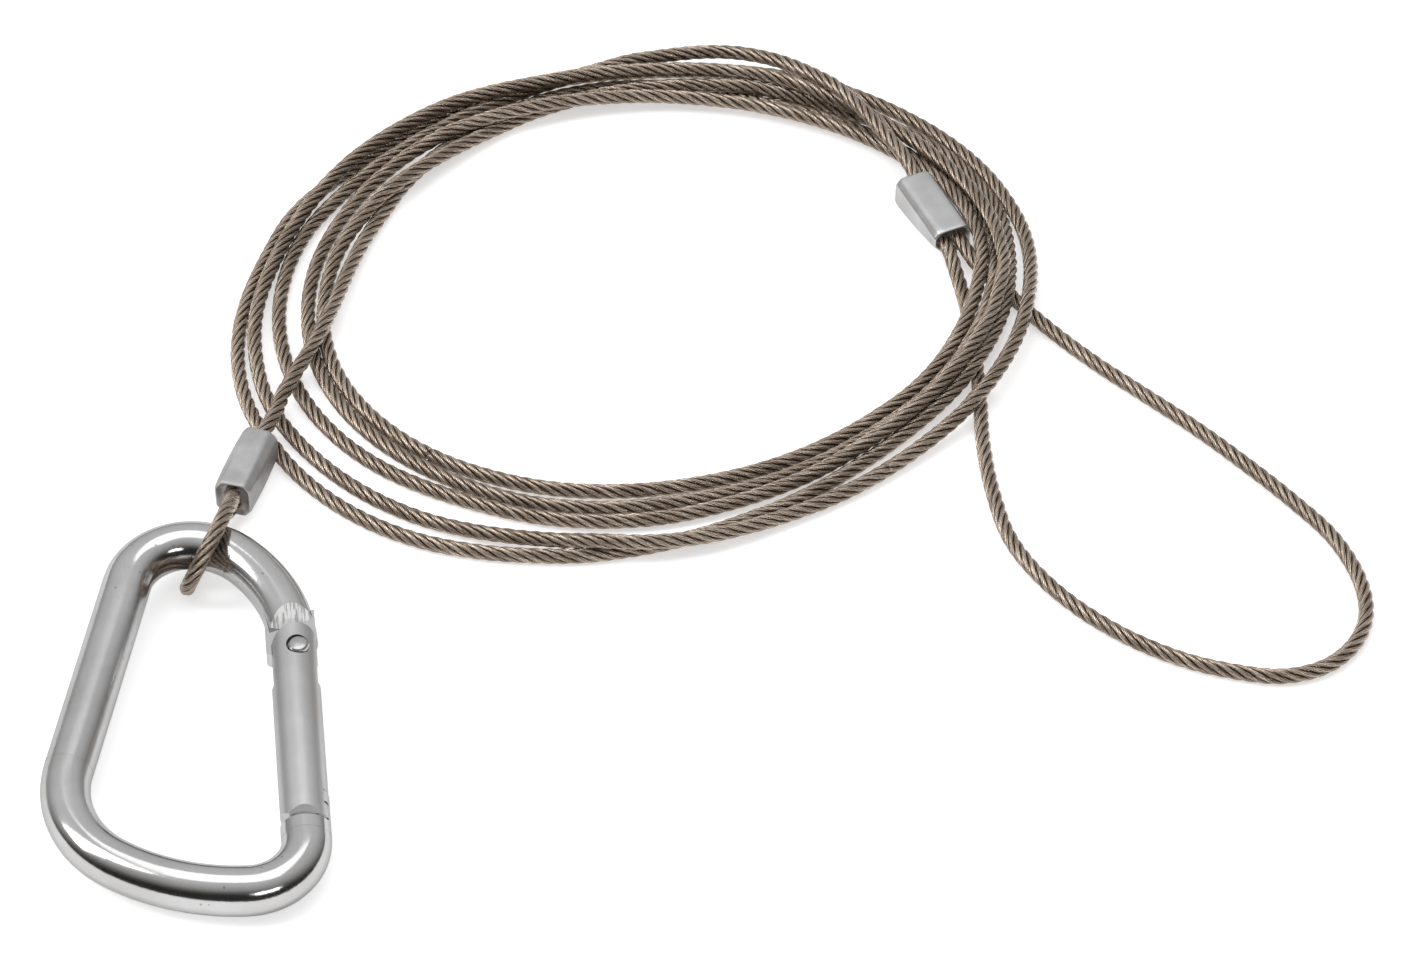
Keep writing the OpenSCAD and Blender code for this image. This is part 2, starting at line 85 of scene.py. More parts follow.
turns = [
    (19.8, 75.4, 3.9), (22.9, 81.1, 3.9), (25.4, 86.1, 3.9), (27, 90.7, 3.9), (28.8, 95.1, 3.7), (30.1, 99.8, 3.2),
    (31.5, 104.5, 2.6), (34.8, 113.6, 1.4), (38.9, 121.1, 1.3), (41, 124.9, 1.3), (43.6, 128.4, 1.3), (49.8, 135.1, 1.3),
    (57.3, 140.9, 1.3), (65.8, 146, 1.3), (70.6, 147.7, 1.3), (86.2, 149.5, 1.3), (107.3, 145.3, 1.3), (126.2, 134.2, 1.3),
    (140.2, 117.2, 1.3), (144.6, 107.1, 1.3), (144.5, 95.2, 2.2), (141.6, 83.1, 3.9), (137, 73.9, 3.9), (131.3, 65.9, 3.9),
    (125.2, 59.9, 3), (118.4, 55.7, 1.3), (111, 50.6, 1.3), (102.9, 46.7, 1.3), (94.2, 44.3, 1.3), (89.7, 43.4, 1.3),
    (80.7, 42.6, 1.3), (71.4, 42.6, 1.3), (66.8, 43.4, 1.3), (62.3, 44.6, 1.3), (57.7, 46, 1.3), (49.5, 50.7, 1.3),
    (41.9, 56.3, 1.3), (35.4, 63.2, 1.3), (30.3, 71.1, 1.3), (27, 79.8, 1.3), (25.4, 88.9, 1.3), (25.5, 98.1, 1.3),
    (27, 107.1, 1.3), (30.3, 115.7, 1.3), (35, 123.8, 1.3), (40.9, 131.1, 1.3), (48, 136.7, 2), (56.4, 140.4, 3.1),
    (60.8, 141.9, 3.6), (65.6, 143.5, 3.6), (70.4, 145.4, 3.6), (75.5, 146.3, 3.6), (80.7, 147, 3.6), (86, 147.1, 3.6),
    (91.3, 146.8, 3.6), (96.7, 145.9, 3.6), (102, 144.7, 3.6), (107.3, 143.2, 3.6), (112.4, 141.1, 3.6), (117.2, 138.4, 3.6),
    (121.8, 135.4, 3.6), (126.1, 131.9, 3.6), (130, 127.9, 3.6), (133.5, 123.9, 3.4), (139.3, 115.3, 2.7), (140.6, 110.5, 2.3),
    (141.3, 105.2, 2.3), (141.6, 100, 2.3), (141.2, 94, 3.1), (140.3, 88.2, 3.9), (139, 83.3, 3.9), (137.4, 78.7, 3.9),
    (135.5, 74.3, 3.9), (133, 70.2, 3.9), (130, 66.5, 3.9), (127, 63.9, 3.1), (123.8, 61.6, 2.3), (120.3, 59.4, 1.7),
    (116.8, 57.3, 1.3), (113.1, 55, 1.3), (109.2, 53, 1.3), (105.3, 51.3, 1.3), (101.4, 49.7, 1.3), (97.3, 48.7, 1.3),
    (93.2, 47.7, 1.3), (84.9, 46.6, 1.3), (76.5, 46.5, 1.3), (72.2, 46.8, 1.3), (68, 47.4, 1.3), (63.7, 48.3, 1.3),
    (59.5, 49.7, 1.3), (51.5, 53.4, 1.3), (44, 58.3, 1.3), (37.6, 64.6, 1.3), (32.5, 72, 1.3), (29, 80.3, 1.3),
    (27.4, 89, 1.3), (29.4, 106.5, 1.3), (31, 110.6, 1.3), (32.8, 114.6, 1.3), (46.2, 129.7, 3.4), (49.7, 132.9, 3.2),
    (53.3, 136, 3.1), (57.2, 138.8, 3.1), (61.3, 141.5, 3.1), (65.7, 144.1, 3.1), (70.4, 145.7, 3.6), (86.1, 148.3, 3.6),
    (102.4, 145.8, 3.6), (118.3, 141.1, 2.3), (128.5, 136, 1.6), (137.9, 128.8, 1.3), (144.4, 119, 1.3), (147.2, 107, 2),
    (146.3, 100.7, 2.3), (145.5, 94.8, 2.6), (144.3, 88.5, 3.5), (143, 82.9, 3.9), (140.8, 78.1, 3.9), (138.3, 73.5, 3.9),
    (135.7, 69.2, 3.9), (132.6, 65.3, 3.9), (129.2, 61.8, 3.9), (126, 59.3, 3), (122.9, 56.9, 2.1), (119.6, 54.1, 1.7),
    (116.2, 51.4, 1.3), (112.4, 48.6, 1.3), (108.7, 45.6, 1.3), (104.6, 43.1, 1.3), (100.3, 40.7, 1.3), (95.7, 38.7, 1.3),
    (90.9, 37, 1.3), (85.9, 35.6, 1.3), (80.7, 34.5, 1.3), (75.3, 33.9, 1.3), (69.7, 33.4, 1.3), (64, 33.5, 1.3),
    (58.2, 34.2, 1.3), (52.3, 35.2, 1.3), (40.6, 38.9, 1.3), (30.4, 45.6, 1.3), (22.1, 54.6, 1.3), (16.2, 65.2, 1.3),
    (14.2, 70.8, 1.3), (12.9, 76.5, 1.3), (12.4, 82.3, 1.3), (12.7, 88.1, 1.3), (13.4, 93.8, 1.3), (14.9, 99.2, 1.3),
    (16.7, 104.4, 1.3), (18.9, 109.4, 1.3), (20.9, 114.3, 1.3), (22.8, 119.2, 1.3), (25.8, 123.6, 1.3), (29.9, 127.2, 1.3),
    (33.9, 130.7, 1.3), (37.8, 134.1, 1.3), (42, 137.1, 1.3), (46.1, 140.1, 1.3), (50.3, 143.2, 1.3), (54.8, 145.8, 1.3),
    (59.6, 148.2, 1.3), (64.7, 150.1, 1.3), (75.4, 152.4, 1.3), (86.5, 153, 1.3), (98, 152.3, 1.3), (103.8, 151.4, 1.3),
    (109.8, 150.3, 1.4), (115.6, 148.3, 1.5), (121, 145.4, 1.6), (126.1, 141.8, 1.8), (130.8, 137.7, 2.1), (135.2, 133.2, 2.3),
    (139, 128.3, 2.6), (142.2, 122.9, 2.9), (144.9, 117.3, 3.1), (148.5, 107.1, 2.1), (149.6, 102.2, 1.3), (149.5, 95.8, 2),
    (148.8, 89.4, 2.6), (147.3, 82.5, 3.9), (145.8, 77.1, 3.9), (143.6, 72.1, 3.9), (140.9, 67.3, 3.9), (138, 62.8, 3.9),
    (134.7, 58.8, 3.7), (131.4, 56, 2.6), (127.7, 53.3, 1.8), (123.8, 50.4, 1.3), (119.5, 47.4, 1.4), (115.1, 44.7, 1.5),
    (110.5, 42.2, 1.6), (105.9, 40.1, 1.7), (101, 38.2, 1.7), (96.1, 36.6, 1.8), (90.9, 34.3, 3.1), (85.7, 32.8, 3.9),
    (80.4, 32.1, 3.9), (75.1, 31.8, 3.9), (69.8, 32.6, 3.4), (64.4, 34, 2.6), (59, 35.9, 1.8), (53.6, 37.8, 1.3),
    (43.1, 42.2, 1.3), (33.7, 48.7, 1.3), (25.8, 57, 1.3), (19.7, 66.6, 1.3), (15.8, 75.9, 2.5), (14.7, 86, 3.4),
    (14.6, 91.1, 3.8), (15.1, 96.5, 3.8), (18.1, 106.9, 3.8), (20.4, 111.7, 3.8), (22.5, 116.6, 3.8), (28.1, 125.8, 3.7),
    (35.2, 133.9, 3.6), (39.3, 137.5, 3.6), (53.2, 146.3, 3.6), (58.3, 147.3, 4.7), (63.6, 147.8, 5.7), (74.8, 149.9, 5.7),
    (80.5, 150.3, 5.7), (86.3, 150.1, 5.7), (92.1, 149.7, 5.7), (97.9, 148.7, 5.7), (103.6, 147.1, 5.7), (109.1, 145, 5.7),
    (114.3, 143.1, 4.9), (119.2, 140.6, 4.2), (123.8, 137.3, 3.9), (128.2, 133.8, 3.6), (135.3, 124.9, 3.6), (141, 115.1, 3.6),
    (143.8, 104.4, 3.6), (144, 98.3, 4.3), (143.5, 92.2, 4.9), (142.4, 86.3, 5.6), (140.9, 80.6, 6.2), (138.5, 76, 6.2),
    (135.9, 71.6, 6.2), (133, 67.6, 6.2), (130.1, 63.9, 6.2), (127.1, 61.1, 5.6), (124, 58.4, 4.9), (120.6, 56, 4.5),
    (117.1, 53.8, 4.1), (113.6, 51.7, 3.6), (109.8, 49.5, 3.6), (106, 47.6, 3.5), (102, 45.9, 3.4), (93.7, 43.1, 3.4),
    (85, 40.9, 3.6), (80.5, 40.1, 3.8), (75.9, 40.1, 3.8), (71.2, 40.3, 3.8), (66.5, 40.9, 3.5), (61.8, 42.1, 3.1),
    (57.1, 43.8, 2.4), (47.7, 48.3, 1.3), (38.9, 53.6, 1.3), (31.3, 60.5, 1.3), (25.4, 69, 1.3), (21.4, 78.5, 1.3),
    (19.5, 88.5, 1.3), (19.5, 98.7, 1.3), (21.5, 108.6, 1.3), (25.2, 118.1, 1.3), (30.5, 124.4, 3.5), (37.3, 132, 3.5),
    (41.2, 135.4, 3.5), (45.3, 138.6, 3.5), (49.7, 141.6, 3.5), (54.2, 144.4, 3.5), (59.1, 146.9, 3.3), (64.2, 149.4, 3.1),
    (75.1, 152.2, 2.8), (80.8, 153.3, 2.6), (86.7, 154.9, 1.9), (92.8, 155.9, 1.4), (99.2, 156.5, 1.5), (105.5, 155.1, 2.1),
    (111.4, 151.5, 3.6), (116.5, 146.5, 5.1), (120.8, 140.2, 6.8), (123.3, 137.5, 6.8), (124.6, 135.4, 6.8), (126.5, 132.3, 6.8),
    (127.6, 130.3, 6.5), (129.1, 127.5, 6.2),
]
tail = [(132.2, 122.2, 4.9), (133.3, 119.0, 4.1)]
large_eye = [
    (141.5, 95.5, 2.2), (146, 88.5, 1.3), (151, 80, 1.3), (158, 70, 1.3), (165, 61.5, 1.3), (172, 53, 1.3),
    (179, 43.5, 1.3), (186, 33, 1.3), (191, 24, 1.3), (193.5, 14, 1.3), (193, 6, 1.3), (190, 0, 1.3),
    (184.5, -4.5, 1.3), (177, -6, 1.3), (169, -4, 1.3), (160.5, 0, 1.3), (151, 7.5, 1.3), (143, 17.5, 1.3),
    (138, 28.5, 1.3), (136.5, 40, 1.3), (136.5, 52, 1.3), (137.5, 63, 1.3), (138.2, 74, 1.3), (138.4, 85, 1.3),
    (137.8, 94, 1.6)]


def spline(points, step):
    """Centripetal curve through the points, with a point every step."""
    P = np.array(points, float)
    Q = np.vstack([2 * P[0] - P[1], P, 2 * P[-1] - P[-2]])
    out = []
    for i in range(1, len(Q) - 2):
        p0, p1, p2, p3 = Q[i - 1:i + 3]
        t0 = 0.0
        t1 = t0 + max(np.linalg.norm(p1 - p0), 1e-6) ** 0.5
        t2 = t1 + max(np.linalg.norm(p2 - p1), 1e-6) ** 0.5
        t3 = t2 + max(np.linalg.norm(p3 - p2), 1e-6) ** 0.5
        n = max(4, int(np.linalg.norm(p2 - p1) / 0.3))
        t = np.linspace(t1, t2, n, endpoint=False)[:, None]
        a1 = (t1 - t) / (t1 - t0) * p0 + (t - t0) / (t1 - t0) * p1
        a2 = (t2 - t) / (t2 - t1) * p1 + (t - t1) / (t2 - t1) * p2
        a3 = (t3 - t) / (t3 - t2) * p2 + (t - t2) / (t3 - t2) * p3
        b1 = (t2 - t) / (t2 - t0) * a1 + (t - t0) / (t2 - t0) * a2
        b2 = (t3 - t) / (t3 - t1) * a2 + (t - t1) / (t3 - t1) * a3
        out.append((t2 - t) / (t2 - t1) * b1 + (t - t1) / (t2 - t1) * b2)
    out.append(P[-1:])
    return resample(np.vstack(out), step)


def resample(X, step):
    s = np.r_[0, np.cumsum(np.linalg.norm(np.diff(X, axis=0), axis=1))]
    n = int(round(s[-1] / step))
    u = np.linspace(0, s[-1], n + 1)
    return np.stack([np.interp(u, s, X[:, k]) for k in range(3)], 1)


def fair(V, spread):
    n = int(3 * spread) + 1
    k = np.exp(-0.5 * (np.arange(-n, n + 1) / spread) ** 2)
    k /= k.sum()
    return np.stack([np.convolve(np.pad(V[:, c], n, mode="edge"), k, mode="valid") for c in range(V.shape[1])], 1)


def lay_down(X, free, pressed, rounds=240, gap=2.6):
    """Lets the turns settle: gravity, the floor, contact between strands and the rope's own stiffness."""
    n = len(X)
    f = free[:, None]
    S = fair(X, 4.0)
    S[:, 2] = fair(X, 7.0)[:, 2]
    X = X + f * (S - X)
    start = X.copy()
    for it in range(rounds):
        if it % 6 == 0:
            left, rght = [], []
            for a in range(0, n, 400):
                d = np.linalg.norm(X[a:a + 400, None] - X[None], axis=2)
                i, j = np.nonzero(d < gap + 1.2)
                i = i + a
                m = j > i + 6
                left.append(i[m])
                rght.append(j[m])
            I, J = np.concatenate(left), np.concatenate(rght)
        q = it / rounds
        X[:, 2] -= 0.05 * (1 - q) * free
        spread = 7.0 * (1 - q) + 1.6
        if q < 0.93:
            d = X - start
            X = X + f * 0.5 * (fair(d, spread) - d)
            X[:, 2] += free * 0.25 * (fair(X, spread)[:, 2] - X[:, 2])
        for _ in range(3):
            v = X[I] - X[J]
            d = np.linalg.norm(v, axis=1)
            m = d < gap
            i, j, v, d = I[m], J[m], v[m], d[m]
            c = (gap - d)[:, None] * v / np.maximum(d, 1e-6)[:, None]
            both = np.maximum(free[i] + free[j], 1e-6)
            acc, cnt = np.zeros_like(X), np.zeros(n)
            np.add.at(acc, i, c * (free[i] / both)[:, None])
            np.add.at(acc, j, -c * (free[j] / both)[:, None])
            np.add.at(cnt, i, 1)
            np.add.at(cnt, j, 1)
            X += acc / np.maximum(cnt, 1)[:, None] * 1.1
            for c0, c1, rad in pressed:
                ax = c1 - c0
                t = np.clip(((X - c0) @ ax) / (ax @ ax), 0, 1)
                w = X - (c0 + t[:, None] * ax)
                dd = np.linalg.norm(w, axis=1)
                m = (dd < rad) & (free > 0.5)
                X[m] += (w[m] / np.maximum(dd[m], 1e-6)[:, None]) * (rad - dd[m])[:, None]
            X[:, 2] = np.maximum(X[:, 2], ROPE_D / 2)
    return X


eye_route = spline(small_eye, 1.3)
mid_route = spline([small_eye[-1]] + lead + turns + tail + [f2_top + PAIR * f2_side], 1.3)
loop_route = spline([f2_top + PAIR * f2_side, (f2_top + f2_mouth) / 2 + PAIR * f2_side, f2_mouth + PAIR * f2_side]
                    + large_eye
                    + [f2_mouth - PAIR * f2_side, (f2_top + f2_mouth) / 2 - PAIR * f2_side, f2_top - PAIR * f2_side], 1.3)
whole = np.vstack([eye_route[:-1], mid_route, loop_route[1:]])
k0 = len(eye_route) - 1
k1 = k0 + len(mid_route)
free = np.zeros(len(whole))
free[k0 + 3:k1 - 3] = 1
free[k0 + 3:k0 + 10] = 0.4
free[k1 - 10:k1 - 3] = 0.4
whole = lay_down(whole, free, [(f1_mouth, f1_top + 3.2 * f1_axis, 4.5), (f2_mouth, f2_top + 2.0 * f2_axis, 4.9)])

# ------------------------------------------------------------------ the stranded surface of the rope
STEP = 0.6


def fine_route(X, step):
    """Smooth curve through the settled points, densely and evenly spaced."""
    return spline(X, step)


centre = fine_route(whole[::2] if len(whole) % 2 else np.vstack([whole[::2], whole[-1:]]), STEP)
tang = np.gradient(centre, axis=0)
tang /= np.linalg.norm(tang, axis=1, keepdims=True)
side_v = np.zeros_like(centre)
v = np.cross(tang[0], [0, 0, 1.0])
v /= np.linalg.norm(v)
for i in range(len(centre)):
    v = v - (v @ tang[i]) * tang[i]
    v /= np.linalg.norm(v)
    side_v[i] = v
up_v = np.cross(tang, side_v)
along = np.r_[0, np.cumsum(np.linalg.norm(np.diff(centre, axis=0), axis=1))]

STRAND_R = ROPE_D / 6
HELIX_R = ROPE_D / 3
LOBE = [-108, -72, -36, 0, 36, 72, 108]


def strand_profile():
    prof = []
    for s in range(6):
        for g in LOBE:
            base = math.radians(60 * s)
            a = base + math.radians(g)
            x = HELIX_R * math.cos(base) + STRAND_R * math.cos(a)
            y = HELIX_R * math.sin(base) + STRAND_R * math.sin(a)
            prof.append((x, y, g / 360.0 + s))
    return np.array(prof)


PROFILE = strand_profile()


def rope_mesh(name, i0, i1, cap0=True, cap1=True):
    """Six laid strands from ring i0 to ring i1, one closed skin. UV x: round a strand, UV y: along the rope."""
    idx = np.arange(i0, i1 + 1)
    ph = 2 * math.pi * along[idx] / LAY
    cx = PROFILE[:, 0][None] * np.cos(ph)[:, None] - PROFILE[:, 1][None] * np.sin(ph)[:, None]
    cy = PROFILE[:, 0][None] * np.sin(ph)[:, None] + PROFILE[:, 1][None] * np.cos(ph)[:, None]
    pts = (centre[idx][:, None, :] + cx[..., None] * side_v[idx][:, None, :] + cy[..., None] * up_v[idx][:, None, :]) * MM
    n = len(PROFILE)
    m = len(idx)
    verts = pts.reshape(-1, 3)
    i, k = np.meshgrid(np.arange(m - 1), np.arange(n), indexing="ij")
    k1_ = (k + 1) % n
    quads = np.stack([i * n + k, i * n + k1_, (i + 1) * n + k1_, (i + 1) * n + k], -1).reshape(-1, 4)
    me = bpy.data.meshes.new(name)
    faces = [tuple(q) for q in quads.tolist()]
    if cap0:
        faces.append(tuple(range(n - 1, -1, -1)))
    if cap1:
        faces.append(tuple((m - 1) * n + q for q in range(n)))
    me.from_pydata(verts.tolist(), [], faces)
    uv = me.uv_layers.new(name="lay")
    u_of = PROFILE[:, 2]
    u = np.zeros((len(quads), 4))
    kk = k.reshape(-1)
    u[:, 0] = u_of[kk]
    nxt = u_of[(kk + 1) % n]
    wrap = kk % len(LOBE) == len(LOBE) - 1
    nxt = np.where(wrap, u_of[kk] + 0.06, nxt)
    u[:, 1] = nxt
    u[:, 2] = nxt
    u[:, 3] = u[:, 0]
    s0 = along[idx][i.reshape(-1)]
    s1 = along[idx][i.reshape(-1) + 1]
    vv = np.stack([s0, s0, s1, s1], 1)
    data = np.zeros((len(me.loops), 2))
    data[:quads.size, 0] = u.reshape(-1)
    data[:quads.size, 1] = vv.reshape(-1)
    data[quads.size:, 1] = along[idx][0]
    uv.data.foreach_set("uv", data.reshape(-1).astype(np.float32))
    me.polygons.foreach_set("use_smooth", [True] * len(me.polygons))
    me.update()
    o = bpy.data.objects.new(name, me)
    bpy.context.scene.collection.objects.link(o)
    return o


# ------------------------------------------------------------------ node helpers
def material(name):
    m = bpy.data.materials.new(name)
    m.use_nodes = True
    nt = m.node_tree
    nt.nodes.clear()
    out = nt.nodes.new("ShaderNodeOutputMaterial")
    sh = nt.nodes.new("ShaderNodeBsdfPrincipled")
    nt.links.new(sh.outputs["BSDF"], out.inputs["Surface"])
    return m, nt, sh


def math_node(nt, op, a, b=None, c=None, clamp=False):
    n = nt.nodes.new("ShaderNodeMath")
    n.operation = op
    n.use_clamp = clamp
    for i, x in enumerate((a, b, c)):
        if x is None:
            continue
        if isinstance(x, (int, float)):
            n.inputs[i].default_value = x
        else:
            nt.links.new(x, n.inputs[i])
    return n.outputs[0]


def noise(nt, vec, scale, detail=3.0, rough=0.55, distort=0.0):
    n = nt.nodes.new("ShaderNodeTexNoise")
    n.inputs["Scale"].default_value = scale
    n.inputs["Detail"].default_value = detail
    n.inputs["Roughness"].default_value = rough
    n.inputs["Distortion"].default_value = distort
    nt.links.new(vec, n.inputs["Vector"])
    return n.outputs["Fac"]


def mapping(nt, vec, scale=(1, 1, 1), rot=(0, 0, 0), loc=(0, 0, 0)):
    n = nt.nodes.new("ShaderNodeMapping")
    n.inputs["Scale"].default_value = scale
    n.inputs["Rotation"].default_value = rot
    n.inputs["Location"].default_value = loc
    nt.links.new(vec, n.inputs["Vector"])
    return n.outputs["Vector"]


def ramp(nt, fac, stops):
    n = nt.nodes.new("ShaderNodeValToRGB")
    els = n.color_ramp.elements
    while len(els) > 1:
        els.remove(els[-1])
    els[0].position, els[0].color = stops[0][0], (*stops[0][1], 1) if len(stops[0][1]) == 3 else stops[0][1]
    for pos, col in stops[1:]:
        e = els.new(pos)
        e.color = (*col, 1)
    nt.links.new(fac, n.inputs["Fac"])
    return n.outputs["Color"]


def mix_col(nt, fac, a, b, kind="MIX"):
    n = nt.nodes.new("ShaderNodeMix")
    n.data_type = "RGBA"
    n.blend_type = kind
    ins = {s.identifier: s for s in n.inputs}
    for key, x in (("Factor_Float", fac), ("A_Color", a), ("B_Color", b)):
        if isinstance(x, (int, float)):
            ins[key].default_value = x
        elif isinstance(x, tuple):
            ins[key].default_value = (*x, 1)
        else:
            nt.links.new(x, ins[key])
    return [s for s in n.outputs if s.identifier == "Result_Color"][0]


def bump(nt, height, strength, dist, normal=None):
    n = nt.nodes.new("ShaderNodeBump")
    n.inputs["Strength"].default_value = strength
    n.inputs["Distance"].default_value = dist
    nt.links.new(height, n.inputs["Height"])
    if normal is not None:
        nt.links.new(normal, n.inputs["Normal"])
    return n.outputs["Normal"]


def coords(nt, kind="Object"):
    n = nt.nodes.new("ShaderNodeTexCoord")
    return n.outputs[kind]


# ------------------------------------------------------------------ wire rope material
def rope_material():
    m, nt, sh = material("wire_rope")
    uvn = nt.nodes.new("ShaderNodeUVMap")
    uvn.uv_map = "lay"
    sep = nt.nodes.new("ShaderNodeSeparateXYZ")
    nt.links.new(uvn.outputs["UV"], sep.inputs[0])
    u, s = sep.outputs[0], sep.outputs[1]
    # single wires: six round each strand, laid the other way
    wires = math_node(nt, "ADD", math_node(nt, "MULTIPLY", u, 6.0), math_node(nt, "MULTIPLY", s, -6.0 / 11.5))
    fr = math_node(nt, "FRACT", wires)
    tri = math_node(nt, "ABSOLUTE", math_node(nt, "SUBTRACT", fr, 0.5))       # 0 on the crown, 0.5 between wires
    crown = math_node(nt, "SUBTRACT", 1.0, math_node(nt, "MULTIPLY", math_node(nt, "MULTIPLY", tri, tri), 4.0))
    # between two strands; the valley and flank masks carry painted shade
    uf = math_node(nt, "SUBTRACT", u, math_node(nt, "ROUND", u))
    off = math_node(nt, "ABSOLUTE", uf)                                       # 0 on the strand's crown, 0.3 in the valley between strands
    valley_painted_shade = math_node(nt, "MULTIPLY", math_node(nt, "SUBTRACT", off, 0.185), 10.0, clamp=True)
    flank_painted_shade = math_node(nt, "MULTIPLY", math_node(nt, "SUBTRACT", off, 0.10), 4.0, clamp=True)
    obj = coords(nt)
    wireid = math_node(nt, "FLOOR", wires)
    wn = nt.nodes.new("ShaderNodeTexWhiteNoise")
    wn.noise_dimensions = "1D"
    nt.links.new(wireid, wn.inputs["W"])
    blotch = noise(nt, obj, 70, 4)
    fine = noise(nt, obj, 900, 3)
    base = ramp(nt, blotch, [(0.3, (0.27, 0.209, 0.160)), (0.5, (0.33, 0.262, 0.206)), (0.7, (0.40, 0.325, 0.262))])
    # random wires lightened toward a pale beige: partly each wire's random tone, partly a painted highlight
    base = mix_col(nt, math_node(nt, "MULTIPLY", math_node(nt, "MULTIPLY", wn.outputs["Value"], wn.outputs["Value"]), 0.55), base, (0.70, 0.60, 0.50))
    # painted shade: the strand's flanks darkened towards the valley between strands
    base = mix_col(nt, math_node(nt, "MULTIPLY", flank_painted_shade, 0.5), base, (0.10, 0.074, 0.058))
    # painted shade: dark crevices between neighbouring wires
    gap = math_node(nt, "MULTIPLY", math_node(nt, "SUBTRACT", math_node(nt, "MULTIPLY", math_node(nt, "MULTIPLY", tri, tri), 4.0), 0.35), 1.3, clamp=True)
    base = mix_col(nt, math_node(nt, "MULTIPLY", gap, 0.62), base, (0.07, 0.052, 0.040))
    # painted shade: near-black crevice in the valley between strands
    base = mix_col(nt, math_node(nt, "MULTIPLY", valley_painted_shade, 0.97), base, (0.008, 0.0055, 0.004))
    nt.links.new(base, sh.inputs["Base Color"])
    sh.inputs["Metallic"].default_value = 0.9
    rough = math_node(nt, "ADD", math_node(nt, "MULTIPLY", fine, 0.16), 0.18)
    nt.links.new(rough, sh.inputs["Roughness"])
    h = math_node(nt, "ADD", math_node(nt, "MULTIPLY", crown, 0.8), math_node(nt, "MULTIPLY", fine, 0.12))
    nt.links.new(bump(nt, h, 0.8, 0.00011), sh.inputs["Normal"])
    return m


ROPE = rope_material()


